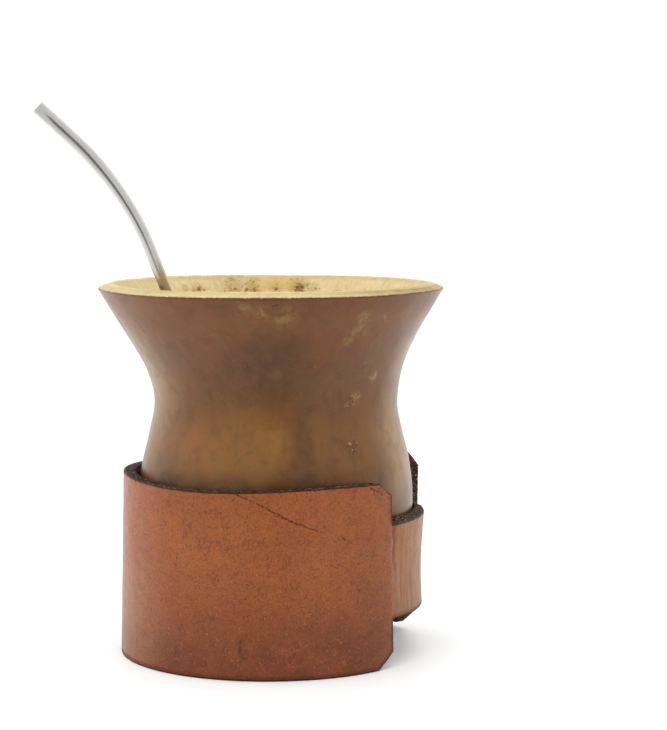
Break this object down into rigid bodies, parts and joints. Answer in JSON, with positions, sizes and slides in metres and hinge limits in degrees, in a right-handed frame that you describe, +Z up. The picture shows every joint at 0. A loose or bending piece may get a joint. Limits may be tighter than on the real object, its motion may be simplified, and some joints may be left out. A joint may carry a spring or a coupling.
{
  "type": "mate gourd",
  "caption": "Empty calabash cup with a flared cut mouth and a narrow waist, standing in a bent strip of brown leather, with a thin bent metal straw leaning on its lip",
  "frame": {"origin": "middle of the gourd's small flat foot, on the surface that it stands on", "axes": "+Z up through the gourd's mouth, +X to the right as seen from the front, where the leather is notched, +Y away from the viewer"},
  "size_m": [0.114, 0.1004, 0.159],
  "materials": {
    "gourd": "dried gourd skin, smooth and softly shiny, with a pale cut lip",
    "leather": "vegetable-tanned saddle leather with dark cut edges",
    "steel": "bright drawn tube"
  },
  "bodies": {
    "root": {"gourd": "gourd", "leather_ring": "leather", "straw": "steel"}
  },
  "joints": []
}
